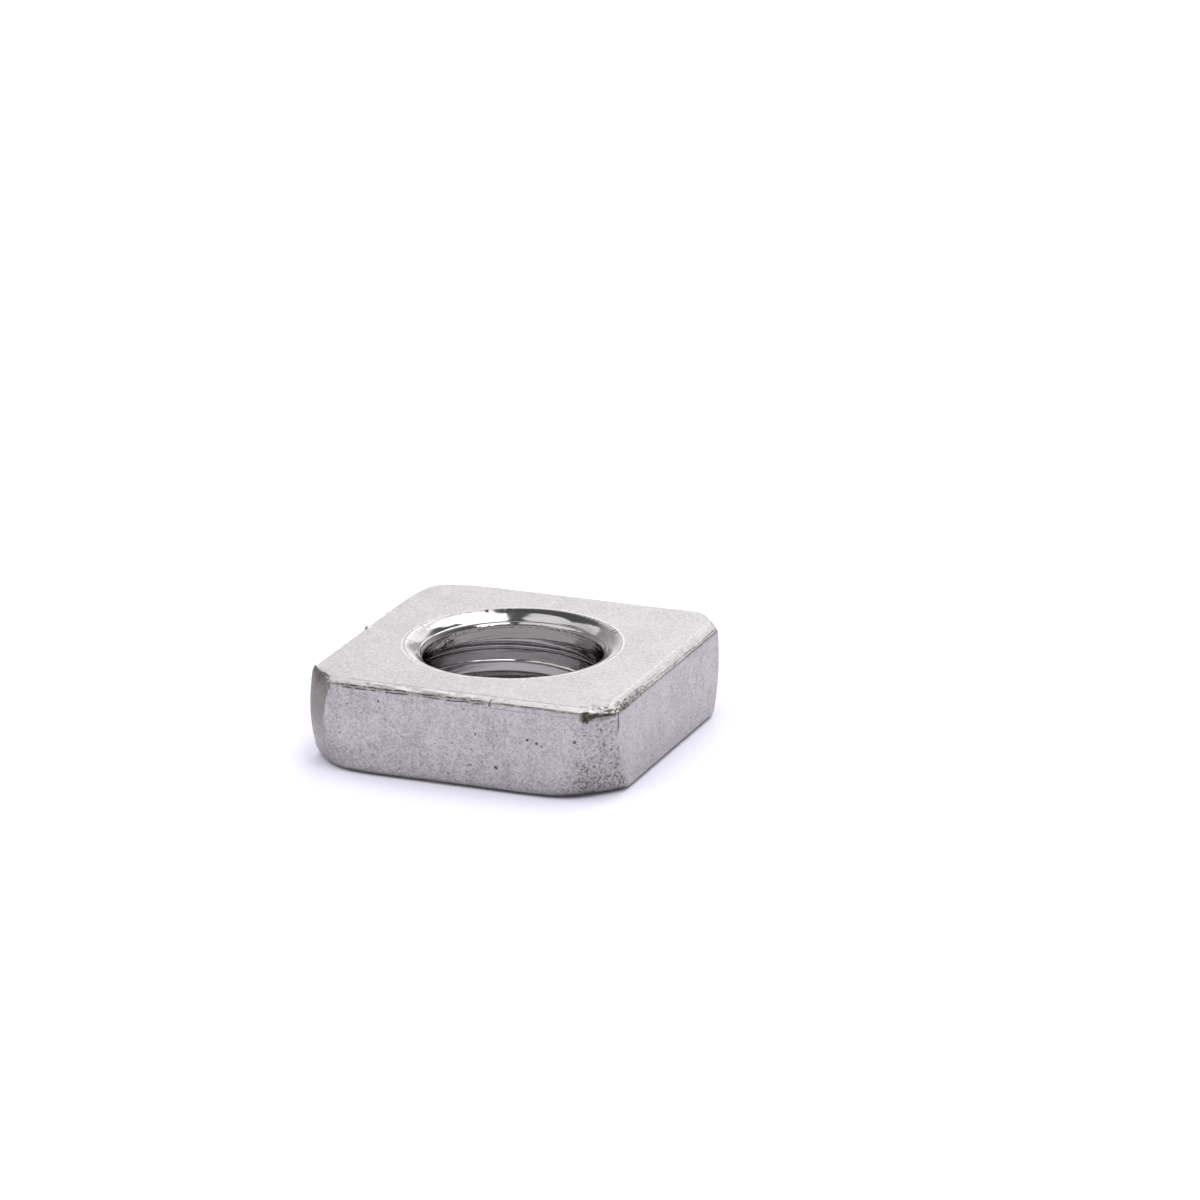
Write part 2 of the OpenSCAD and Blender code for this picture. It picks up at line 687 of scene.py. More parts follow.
@dataclass
class SquareNut:
    """The nut: its sizes in millimetres, its mesh and its finish."""

    across_flats: float
    thickness: float
    hole_x: float
    hole_y: float
    crest_diameter: float
    thread_diameter: float = 8.0
    pitch: float = 1.25
    thread_start: float = 0.554
    root_width: float = 0.16
    countersink_diameter: float = 7.76
    countersink_angle: float = math.radians(76.0)
    countersink_length: float = 0.5
    mouth_rounding: float = 0.4
    rim_slope: float = math.radians(9.0)
    rim_lip: float = 0.02
    ridge: float = 0.025
    ridge_depth: float = 0.33
    lead_in_depth: float = 0.957
    burr: float = 0.02
    burr_depth: float = 0.5
    waviness: float = 0.04
    corner_roughness: float = 0.06
    merge_distance: float = 0.002
    rings: Rings = field(default_factory=Rings)
    # Centre, spread and push of each
    dents: tuple[Dent, ...] = (
        Dent((6.05, -5.9, 3.4), (0.75, 0.75, 0.12), (-0.06, 0.06, 0.0)),
        Dent((5.55, -6.42, 3.48), (0.3, 0.35, 0.3), (-0.03, 0.12, -0.03)),
        Dent((-6.4, -0.05, 3.68), (0.2, 0.16, 0.2), (-0.06, 0.0, 0.08)),
        Dent((-6.3, 1.9, 3.68), (0.2, 0.12, 0.2), (-0.04, 0.0, 0.03)),
        Dent((-6.3, -5.2, 3.68), (0.2, 0.2, 0.2), (-0.04, 0.0, 0.07)),
        Dent((-3.75, 0.9, 2.9), (0.35, 0.5, 0.1), (0.05, -0.01, 0.02)),
        Dent((-3.6, 1.35, 3.0), (0.3, 0.4, 0.08), (0.06, -0.02, 0.02)),
    )
    # Centre, spread, fineness and depth of each
    chafing: tuple[Chafing, ...] = (
        Chafing((6.45, -4.3, 3.58), (0.35, 1.6, 0.3), 6.0, 0.16),
        Chafing((6.45, 1.5, 3.55), (0.3, 5.0, 0.25), 3.0, 0.07),
        Chafing((-1.5, -6.4, 3.65), (4.2, 0.5, 0.3), 2.5, 0.12),
        Chafing((-6.45, -1.0, 3.65), (0.3, 5.0, 0.25), 5.0, 0.06),
    )
    corners: dict[Corner, CornerForm] = field(
        default_factory=lambda: {
            Corner.LEFT: CornerForm(
                short=0.75, full_z=2.1, upper_draw=0.24, lower_draw=0.45,
                blend_to_x_side=0.15, blend_to_y_side=0.05, low_blend=1.1, edge_share=0.35,
            ),
            Corner.FRONT: CornerForm(
                short=0.74, full_z=3.6, upper_draw=0.01, lower_draw=0.62,
                blend_to_x_side=0.06, blend_to_y_side=0.5, low_blend=0.5,
            ),
            Corner.RIGHT: CornerForm(
                short=0.88, full_z=2.2, upper_draw=0.08, lower_draw=0.42,
                blend_to_x_side=0.1, blend_to_y_side=0.3, low_blend=0.2, edge_share=0.2,
            ),
            Corner.BACK: CornerForm(
                short=0.57, full_z=2.3, upper_draw=0.1, lower_draw=0.5,
                blend_to_x_side=1.3, blend_to_y_side=1.4, low_blend=0.2,
            ),
        }
    )
    edges: dict[Side, EdgeForm] = field(
        default_factory=lambda: {
            Side.FRONT: EdgeForm(upper_in=0.54, upper_down=0.06, lower=0.35),
            Side.RIGHT: EdgeForm(upper_in=0.46, upper_down=0.28, lower=0.3),
            Side.BACK: EdgeForm(upper_in=0.25, upper_down=0.25, lower=0.3),
            Side.LEFT: EdgeForm(upper_in=0.2, upper_down=0.15, lower=0.35),
        }
    )

    @classmethod
    def from_frame(cls, frame: dict[str, Any]) -> SquareNut:
        """Takes the nut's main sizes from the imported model.


        Returns:
            The nut.
        """
        low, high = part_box(NODE)
        thread = next(mount for mount in frame["record"]["mounts"] if mount["name"] == "thread")
        return cls(
            across_flats=(high[0] - low[0]) * MM_PER_M,
            thickness=(high[2] - low[2]) * MM_PER_M,
            hole_x=thread["pos_m"][0] * MM_PER_M,
            hole_y=thread["pos_m"][1] * MM_PER_M,
            crest_diameter=thread["dims"]["r_mm"] * 2.0,
        )

    def sizes(self) -> dict[str, float]:
        """Gives the node tree's named inputs, one for each size, and their values."""
        names = [item.name for item in fields(self) if item.type == "float"]
        return {name.replace("_", " ").capitalize(): getattr(self, name) for name in names}

    def _tree(self, finish: bpy.types.Material) -> bpy.types.NodeTree:
        """Writes the node tree that makes the nut.

        Args:
            finish: The material that the tree sets.

        Returns:
            The tree, with one named input for each size.
        """
        group = bpy.data.node_groups.new("square_nut_form", "GeometryNodeTree")
        group.interface.new_socket("Geometry", in_out="OUTPUT", socket_type="NodeSocketGeometry")
        for name in self.sizes():
            group.interface.new_socket(name, in_out="INPUT", socket_type="NodeSocketFloat")
        tree = Tree(group)
        given = tree.node("NodeGroupInput")
        rule = NutRule(tree, {name: Field(tree, given.outputs[name]) for name in self.sizes()}, self)
        wall_point, corner, flank = rule.wall()
        rings = self.rings
        join = tree.node("GeometryNodeJoinGeometry")
        for count, point, masks in (
            (rings.wall_total, wall_point, {Mask.CORNER: corner, Mask.FLANK: flank}),
            (rings.face, rule.face(upper=True), {}),
            (rings.hole_total, rule.hole(), {Mask.HOLE: 1.0}),
            (rings.face, rule.face(upper=False), {}),
        ):
            surface = self._surface(tree, count, point, masks)
            group.links.new(surface, join.inputs[0])
        shape = join.outputs[0]
        for kind, inputs in (
            ("GeometryNodeMergeByDistance", {"Distance": rule.sizes["Merge distance"]}),
            ("GeometryNodeSetPosition", {"Offset": self._wear(rule)}),
            ("GeometryNodeTransform", {"Scale": (MM, MM, MM)}),
            ("GeometryNodeSetShadeSmooth", {"Shade Smooth": True}),
            ("GeometryNodeRealizeInstances", {}),
            ("GeometryNodeSetMaterial", {"Material": finish}),
        ):
            shape = tree.node(kind, {0: shape, **inputs}).outputs[0]
        tree.node("NodeGroupOutput", {0: shape})
        return group

    def _wear(self, rule: NutRule) -> Field:
        """Gives how waviness, raw corners, chafing and dents move each point of the finished form.

        Args:
            rule: The rule, for its tree and named inputs.

        Returns:
            The move, in millimetres.
        """
        tree = rule.tree
        position = tree.node("GeometryNodeInputPosition").outputs[0]
        normal = tree.node("GeometryNodeInputNormal").outputs[0]
        corner = tree.value("GeometryNodeInputNamedAttribute", {"Name": Mask.CORNER.value})
        wave = (tree.noise(position, scale=0.4, detail=1.0) - 0.5) * rule.sizes["Waviness"]
        coarse = tree.noise(position, scale=3.0, detail=4.0, roughness=0.6)
        raw = (coarse - 0.5) * corner * rule.sizes["Corner roughness"]
        along_normal = wave + raw
        for stretch in self.chafing:
            along_normal = along_normal + stretch.move(tree, position)
        move = tree.vector("SCALE", normal, along_normal)
        for dent in self.dents:
            move = tree.vector("ADD", move, dent.move(tree, position))
        return move

    def _surface(self, tree: Tree, count: int, point: Field, masks: dict[Mask, Number]) -> Socket:
        """Bends a grid into one stretch of the nut's surface.

        Args:
            tree: The tree that is written.
            count: Rings of faces.
            point: Where each grid point goes.
            masks: Attributes to keep on it.

        Returns:
            The stretch's geometry.
        """
        size = {"Size X": 1.0, "Size Y": 1.0, "Vertices X": self.rings.around + 1, "Vertices Y": count + 1}
        shape = tree.node("GeometryNodeMeshGrid", size).outputs[0]
        for mask, value in masks.items():
            inputs = {0: shape, "Name": mask.value, "Value": value}
            shape = tree.node("GeometryNodeStoreNamedAttribute", inputs).outputs[0]
        return tree.node("GeometryNodeSetPosition", {0: shape, "Position": point}).outputs[0]

    def build(self, finish: bpy.types.Material) -> bpy.types.Object:
        """Makes the nut's mesh.

        Args:
            finish: The nut's material.

        Returns:
            The nut as a plain mesh object at the origin.
        """
        group = self._tree(finish)
        maker = new_object("nut_maker", bpy.data.meshes.new("nut_maker"))
        modifier = maker.modifiers.new("form", "NODES")
        modifier.node_group = group
        inputs = {item.name: item.identifier for item in group.interface.items_tree if item.in_out == "INPUT"}
        for name, value in self.sizes().items():
            modifier[inputs[name]] = value
        graph = bpy.context.evaluated_depsgraph_get()
        mesh = bpy.data.meshes.new_from_object(
            maker.evaluated_get(graph), preserve_all_data_layers=True, depsgraph=graph
        )
        maker.modifiers.remove(modifier)
        bpy.data.objects.remove(maker)
        self._close(mesh)
        return new_object("nut_body", mesh)

    @staticmethod
    def _close(mesh: bpy.types.Mesh) -> None:
        """Turns the faces outwards and reports whether the mesh is closed.

        Args:
            mesh: The nut's mesh.
        """
        shape = bmesh.new()
        shape.from_mesh(mesh)
        bmesh.ops.recalc_face_normals(shape, faces=shape.faces)
        open_edges = sum(1 for edge in shape.edges if not edge.is_manifold)
        LOG.info("nut mesh: %d faces, %d open edges", len(shape.faces), open_edges)
        shape.to_mesh(mesh)
        shape.free()


class Spot:
    """What a finish knows of a point on the nut: its place in millimetres, its masks and the noise there."""

    LOW = (0.2, 1.8)

    def __init__(self, tree: Tree) -> None:
        """Reads the point's place and masks, and the noise that several marks share.

        Args:
            tree: The finish's tree.
        """
        self.tree = tree
        self.where = tree.vector("SCALE", tree.node("ShaderNodeTexCoord").outputs["Object"], MM_PER_M)
        self.x, self.y, self.z = tree.separate(self.where)
        self.hole = self._mask(Mask.HOLE)
        self.corner = self._mask(Mask.CORNER)
        self.flank = self._mask(Mask.FLANK)
        self.low = (1.0 - tree.step(self.z, *self.LOW)) * self.flank
        self.grain = tree.noise(self.where, scale=9.0, detail=3.0, roughness=0.65)
        self.ragged = tree.noise(self.where, scale=3.5, detail=3.0, roughness=0.6)
        self.streak = self.drawn_out(level=0.5, upright=9.0, detail=2.0)

    def _mask(self, mask: Mask) -> Field:
        """Reads one mask of the mesh."""
        return self.tree.value("ShaderNodeAttribute", {}, "Fac", attribute_name=mask.value)

    def drawn_out(self, level: float, upright: float, detail: float) -> Field:
        """Gives noise with different numbers of features per millimetre along the level and upright."""
        where = self.tree.combine(self.x * level, self.y * level, self.z * upright)
        return self.tree.noise(where, 1.0, detail)


@dataclass(frozen=True)
class Stain:
    """A dark spot on the nut, in millimetres, that noise breaks up: a stain, a mark, or painted shade in a
    step or notch.
    """

    EDGE = (0.45, 0.8)

    centre: Point
    spread: Point
    strength: float
    break_up: float = 3.0

    def share(self, spot: Spot) -> Field:
        """Gives how much of the surface the stain covers."""
        away = spot.tree.distance(spot.where, self.centre, self.spread) + (spot.grain - 0.5) * self.break_up
        return (1.0 - spot.tree.step(away, *self.EDGE)) * self.strength


@dataclass(frozen=True)
class EdgeLine:
    """A long dark line along an upper edge, in millimetres, on the face (across over 0) or on the flat:
    partly a scratch, partly painted shade of the crease at the edge.
    """

    FADE = 0.6
    CORE = 0.3
    SEED = 40.0
    FACE_END = (0.9, 0.6)
    FLAT_END = (-0.6, -0.4)

    side: Side
    across: float
    width: float
    waver: float
    start: float
    end: float
    strength: float

    def draw(self, tree: Tree, run: Field, inwards: Field, down: Field) -> Field:
        """Draws the line.

        Args:
            tree: The finish's tree.
            run: The way along the edge.
            inwards: The way in from the flat.
            down: The height, counted from the upper face.

        Returns:
            How dark it makes each point.
        """
        strip = tree.combine(run, 0.0, self.across * self.SEED)
        bend = (tree.noise(strip, scale=1.2, detail=3.0) - 0.5) * self.waver * 2.0
        off = abs(down + inwards - self.across + bend)
        along = tree.step(run, self.start, self.start + self.FADE)
        along = along * tree.step(run, self.end, self.end - self.FADE)
        at_edge = tree.step(inwards, *self.FACE_END) * tree.step(down, *self.FLAT_END)
        drawn = (1.0 - tree.step(off, self.width * self.CORE, self.width)) * along * self.strength
        return drawn * at_edge


@dataclass(frozen=True)
class PickledSteel:
    """Satin stainless steel, pickled and tumbled, cut bright in the hole and raw at the corners.

    The capital names hold the strengths of its marks. A pair gives the limits between which a mark sets in,
    and for raw steel the shares at the top and at the bottom of a corner.
    """

    QUARTER = 1.0
    LOW_CORNER = (0.2, 2.4)
    RAW_ELSEWHERE = 0.4
    RAW_LEFT = (0.95, 0.05)
    RAW_FRONT = (0.03, 0.15)
    PITS = 0.64
    PITS_FRONT = 0.04
    PITS_LOW_FRONT = 0.08
    PIT_EDGE = 0.06
    PIT_SHARE = 0.6
    PATCHES = (0.36, 0.64)
    DULL = 0.23
    DULL_PATCH = 0.15
    DULL_PATCH_FLANK = 0.1
    # Painted shade near the bottom of the flanks
    DULL_LOW = 0.12
    DULL_SMEAR = 0.6
    CONTRAST = 1.8
    CONTRAST_FLANK = 0.8
    CLUSTERS = (0.4, 0.65)
    SPECKS = 0.7
    SPECKS_CLUSTER = 0.05
    SPECKS_LOW = 0.03
    SPECK_EDGE = 0.07
    SPECK_SHARE = 0.3
    SPECK_SHARE_FLANK = 0.45
    BROKEN = (0.36, 0.5)
    # Painted shade line round the rim of the hole, and the painted highlight ring just outside it
    RIM_WAVER = 0.06
    RIM_HEIGHTS = (-0.3, -0.2)
    RIM_LINE = (0.01, 0.04)
    RIM_LINE_SHARE = 0.55
    LIP_AT = 0.08
    LIP_EDGE = (0.02, 0.05)
    # Where the front bevel gets a painted highlight
    POLISHED_Y = (-5.95, -6.05)
    POLISHED_Z = (3.56, 3.62)
    POLISHED = (0.3, 0.5)
    CUT_HEIGHTS = (-0.75, -0.45)
    STREAKS = (0.5, 0.8)
    STREAK_SHARE = 0.45
    ROUGH = 0.33
    ROUGH_GRAIN = 0.25
    ROUGH_CORNER = 0.1
    ROUGH_BORE = 0.08
    ROUGH_STREAK = 0.06
    GRAIN_HEIGHT = 0.35
    PIT_DEPTH = 0.8
    STAIN_DEPTH = 0.6
    STREAK_HEIGHT = 0.3
    BUMP = 0.6
    BUMP_M = 0.00003

    light: Colour = (0.605, 0.59, 0.596)
    dark: Colour = (0.36, 0.348, 0.35)
    cut: Colour = (0.54, 0.525, 0.527)
    deep: Colour = (0.56, 0.54, 0.54)
    # Colour of the painted highlights on the front bevel and round the rim
    worn: Colour = (0.74, 0.725, 0.73)
    raw: Colour = (0.27, 0.255, 0.24)
    speck: Colour = (0.1, 0.09, 0.085)
    # Dark brown of rust and stains, also used for the painted shade of steps, creases and the rim
    rust: Colour = (0.085, 0.065, 0.05)
    upper_edge: float = 3.7
    flat: float = 6.5
    hole_at: Pair = (-0.23, 0.17)
    rim_radius: float = 4.28
    # Stains and marks; the first three paint the shade in the notch and the step under the front corner's
    # bevel. Centre, spread, strength and how far noise breaks it up
    stains: tuple[Stain, ...] = (
        Stain((5.55, -6.42, 3.46), (0.36, 0.4, 0.4), 1.0, 1.0),
        Stain((5.8, -6.2, 3.46), (0.5, 0.5, 0.17), 1.0, 1.0),
        Stain((6.15, -5.85, 3.42), (0.7, 0.7, 0.09), 0.95, 1.5),
        Stain((6.3, -5.65, 3.58), (0.4, 0.45, 0.12), 0.95, 6.0),
        Stain((6.5, -4.7, 3.52), (0.3, 0.9, 0.16), 0.95, 6.0),
        Stain((6.5, -3.2, 3.55), (0.3, 1.2, 0.12), 0.8, 6.0),
        Stain((6.5, -5.38, 3.0), (0.08, 0.08, 0.65), 0.7, 1.0),
        Stain((-6.0, -6.0, 3.5), (0.7, 0.7, 0.3), 0.75, 5.0),
        Stain((-5.7, -6.2, 3.65), (0.7, 0.5, 0.12), 0.7),
        Stain((-5.15, -6.5, 3.5), (0.06, 0.15, 0.26), 0.75, 0.6),
        Stain((-5.26, -6.5, 3.22), (0.06, 0.15, 0.28), 0.7, 0.6),
        Stain((-5.34, -6.5, 2.9), (0.06, 0.15, 0.34), 0.6, 0.6),
        Stain((-5.4, -6.5, 2.5), (0.06, 0.15, 0.4), 0.45, 0.6),
        Stain((1.62, -6.42, 3.6), (0.07, 0.25, 0.22), 0.8),
        Stain((-3.07, -6.5, 3.1), (0.06, 0.1, 0.06), 1.0),
        Stain((3.17, -6.5, 2.3), (0.09, 0.1, 0.08), 1.0),
        Stain((3.54, -6.5, 2.2), (0.08, 0.1, 0.1), 0.9),
        Stain((3.75, -6.5, 2.1), (0.1, 0.1, 0.07), 0.9),
        Stain((5.1, -6.45, 2.45), (0.09, 0.2, 0.09), 0.9),
        Stain((1.85, -6.5, 1.0), (0.09, 0.1, 0.12), 0.9),
    )
    # Scratches and painted crease shade along the upper edges: side, way across the edge, width, waver,
    # start, end and strength
    lines: tuple[EdgeLine, ...] = (
        EdgeLine(Side.FRONT, 0.5, 0.05, 0.06, -4.9, 5.0, 0.5),
        EdgeLine(Side.FRONT, -0.06, 0.06, 0.06, -5.3, 1.7, 0.95),
        EdgeLine(Side.FRONT, -0.06, 0.05, 0.05, 1.5, 5.4, 0.85),
        EdgeLine(Side.FRONT, -0.18, 0.05, 0.06, -5.0, 1.7, 0.9),
        EdgeLine(Side.FRONT, -0.3, 0.03, 0.06, 0.3, 5.4, 0.4),
        EdgeLine(Side.RIGHT, -0.1, 0.05, 0.12, -5.2, 5.6, 0.65),
        EdgeLine(Side.RIGHT, 0.1, 0.03, 0.1, -4.8, -0.5, 0.5),
        EdgeLine(Side.RIGHT, -0.22, 0.03, 0.1, 1.0, 5.6, 0.5),
    )

    def _corner_tone(self, spot: Spot) -> tuple[Field, Field]:
        """Tells how raw and how pitted the corners are.

        Args:
            spot: The point.

        Returns:
            The share of raw steel and the share of dark pits.
        """
        tree = spot.tree
        to_front = tree.step(spot.y, self.QUARTER, -self.QUARTER)
        left = tree.step(spot.x, self.QUARTER, -self.QUARTER) * to_front
        front = tree.step(spot.x, -self.QUARTER, self.QUARTER) * to_front
        low = 1.0 - tree.step(spot.z, *self.LOW_CORNER)
        raw = tree.mix(self.RAW_ELSEWHERE, tree.mix(*self.RAW_LEFT, low), left)
        raw = tree.mix(raw, tree.mix(*self.RAW_FRONT, low), front)
        edge = self.PITS - low * front * self.PITS_LOW_FRONT - front * self.PITS_FRONT
        stipple = tree.noise(spot.where, scale=7.5, roughness=0.6)
        pits = tree.step(stipple - edge, 0.0, self.PIT_EDGE)
        return raw * spot.corner, pits * spot.corner

    def _dullness(self, spot: Spot) -> Field:
        """Tells how far patches, smears, grain and painted shade low on the flanks take the surface from
        light to dark.

        Args:
            spot: The point.

        Returns:
            The share of the dark colour.
        """
        tree = spot.tree
        cloud = tree.noise(spot.where, scale=0.8, detail=5.0, roughness=0.62, swirl=0.8)
        patches = tree.step(cloud, *self.PATCHES)
        smear = spot.drawn_out(level=2.2, upright=0.5, detail=3.0) - 0.5
        fine = tree.noise(spot.where, scale=16.0, roughness=0.6) - 0.5
        dull = self.DULL + patches * (self.DULL_PATCH + spot.flank * self.DULL_PATCH_FLANK)
        # Painted shade: darker towards the bottom of the flanks
        dull = dull + spot.low * self.DULL_LOW + smear * spot.flank * self.DULL_SMEAR
        contrast = self.CONTRAST + spot.flank * self.CONTRAST_FLANK
        return tree.clamp(dull + (spot.grain - 0.5) * contrast + fine * contrast)

    def _specks(self, spot: Spot) -> Field:
        """Tells where the small dark specks are.

        Args:
            spot: The point.

        Returns:
            The share of the specks.
        """
        tree = spot.tree
        clusters = tree.step(tree.noise(spot.where, scale=0.5), *self.CLUSTERS)
        rare = self.SPECKS - (clusters * self.SPECKS_CLUSTER + spot.low * self.SPECKS_LOW) * spot.flank
        dots = tree.noise(spot.where, scale=6.5, roughness=0.6)
        share = self.SPECK_SHARE + spot.flank * self.SPECK_SHARE_FLANK
        return tree.step(dots - rare, 0.0, self.SPECK_EDGE) * share

    def _edge_lines(self, spot: Spot) -> Field:
        """Draws the long dark lines round the upper edges: scratches, and painted shade of the creases there.

        Args:
            spot: The point.

        Returns:
            How dark they make it.
        """
        tree = spot.tree
        down = spot.z - self.upper_edge
        ways = {Side.FRONT: (spot.x, spot.y + self.flat), Side.RIGHT: (spot.y, self.flat - spot.x)}
        broken = tree.step(spot.ragged, *self.BROKEN)
        dark = down * 0.0
        for line in self.lines:
            dark = tree.math("MAXIMUM", dark, line.draw(tree, *ways[line.side], down) * broken)
        return dark

    def _rim(self, spot: Spot) -> tuple[Field, Field]:
        """Paints a thin line of shade round the rim of the hole, and a highlight on the lip just outside it.

        Args:
            spot: The point.

        Returns:
            How dark the painted shade and how bright the painted highlight make it.
        """
        tree = spot.tree
        from_axis = tree.combine(spot.x - self.hole_at[0], spot.y - self.hole_at[1], 0.0)
        off = tree.vector("LENGTH", from_axis) - self.rim_radius + (spot.ragged - 0.5) * self.RIM_WAVER
        broken = tree.step(spot.z - self.upper_edge, *self.RIM_HEIGHTS) * tree.step(spot.ragged, *self.BROKEN)
        line = 1.0 - tree.step(abs(off), *self.RIM_LINE)
        lip = 1.0 - tree.step(abs(off - self.LIP_AT), *self.LIP_EDGE)
        return line * broken * self.RIM_LINE_SHARE, lip * broken

    def _polished(self, spot: Spot) -> Field:
        """Tells where a painted highlight lies on the bevel of the front edge."""
        strip = spot.tree.step(spot.y, *self.POLISHED_Y) * spot.tree.step(spot.z, *self.POLISHED_Z)
        return strip * spot.tree.step(spot.ragged, *self.POLISHED)

    def _bore(self, spot: Spot) -> Field:
        """Gives the colour of the cut metal in the hole.

        Args:
            spot: The point.

        Returns:
            The colour.
        """
        tree = spot.tree
        bright = tree.step(spot.z - self.upper_edge, *self.CUT_HEIGHTS)
        bore = tree.mix_colour(self.deep, self.cut, bright)
        return tree.mix_colour(bore, self.speck, tree.step(spot.streak, *self.STREAKS) * self.STREAK_SHARE)

    def make(self) -> bpy.types.Material:
        """Makes the material.

        Returns:
            The material.
        """
        material = bpy.data.materials.new("pickled_stainless_steel")
        tree = empty_tree(material)
        spot = Spot(tree)
        raw, pits = self._corner_tone(spot)
        # The first is painted shade round the hole's rim, the second a painted highlight ring just outside it
        rim_line, rim_lip = self._rim(spot)
        # Painted highlight: bright colour on the front bevel and on the ring just outside the hole's rim
        bright = tree.math("MAXIMUM", self._polished(spot), rim_lip)
        dots = tree.math("MAXIMUM", self._specks(spot), pits * self.PIT_SHARE)
        colour = tree.mix_colour(self.light, self.dark, self._dullness(spot))
        colour = tree.mix_colour(colour, self.raw, raw)
        colour = tree.mix_colour(colour, self.worn, bright)
        colour = tree.mix_colour(colour, self.speck, dots)
        # Dark lines along the upper edges: scratches and painted crease shade
        colour = tree.mix_colour(colour, self.rust, self._edge_lines(spot))
        colour = tree.mix_colour(colour, self._bore(spot), spot.hole)
        # Stains and marks, with painted shade at the rim and under the front corner's bevel
        stained = rim_line
        for stain in self.stains:
            stained = tree.math("MAXIMUM", stained, stain.share(spot))
        colour = tree.mix_colour(colour, self.rust, stained)
        rough = self.ROUGH + (spot.grain - 0.5) * self.ROUGH_GRAIN + spot.corner * self.ROUGH_CORNER
        rough = tree.mix(rough, self.ROUGH_BORE + spot.streak * self.ROUGH_STREAK, spot.hole)
        height = spot.grain * self.GRAIN_HEIGHT - pits * self.PIT_DEPTH - stained * self.STAIN_DEPTH
        height = height * (1.0 - spot.hole) + spot.streak * self.STREAK_HEIGHT * spot.hole
        bump = tree.node("ShaderNodeBump", {"Strength": self.BUMP, "Distance": self.BUMP_M, "Height": height})
        shader = tree.node(
            "ShaderNodeBsdfPrincipled",
            {"Base Color": colour, "Metallic": 1.0, "Roughness": rough, "Normal": bump.outputs[0]},
        )
        tree.node("ShaderNodeOutputMaterial", {"Surface": shader.outputs[0]})
        return material


@dataclass
class Viewpoint:
    """The photograph's camera: where it stood and how it framed the nut."""

    azimuth: float = 23.14
    elevation: float = 19.52
    roll: float = -0.58
    distance_mm: float = 273.0
    focal_px: float = 6930.0
    frame_px: float = 1200.0
    nut_px: Pair = (516.0, 732.5)
    sensor_mm: float = 36.0
    clip_start: float = 0.001

    def direction(self) -> Vector:
        """Gives the direction from the nut to the camera."""
        turn, rise = math.radians(self.azimuth), math.radians(self.elevation)
        return Vector((math.sin(turn) * math.cos(rise), -math.cos(turn) * math.cos(rise), math.sin(rise)))

    def build(self) -> bpy.types.Object:
        """Makes the camera and puts it to use.

        Returns:
            The camera.
        """
        data = bpy.data.cameras.new("camera")
        data.sensor_width = self.sensor_mm
        data.lens = self.focal_px / self.frame_px * self.sensor_mm
        data.clip_start = self.clip_start
        camera = new_object("camera", data)
        back = self.direction()
        right = Vector((0.0, 0.0, 1.0)).cross(back).normalized()
        up = back.cross(right)
        distance = self.distance_mm * MM
        scale = distance / self.focal_px
        middle = self.frame_px / 2
        target = right * (middle - self.nut_px[0]) * scale + up * (self.nut_px[1] - middle) * scale
        camera.location = back * distance
        aim = (target - camera.location).to_track_quat("-Z", "Y")
        camera.rotation_euler = (aim @ Quaternion((0.0, 0.0, 1.0), math.radians(self.roll))).to_euler()
        bpy.context.scene.camera = camera
        return camera


@dataclass(frozen=True)
class Softbox:
    """A level softbox over the table, in metres, as seen from the camera.

    It gives how far to the right of the nut and behind it its middle is, its width and depth, and its
    radiance, where the white table has 1.
    """

    name: str
    to_right: float
    to_back: float
    size: Pair
    glow: float


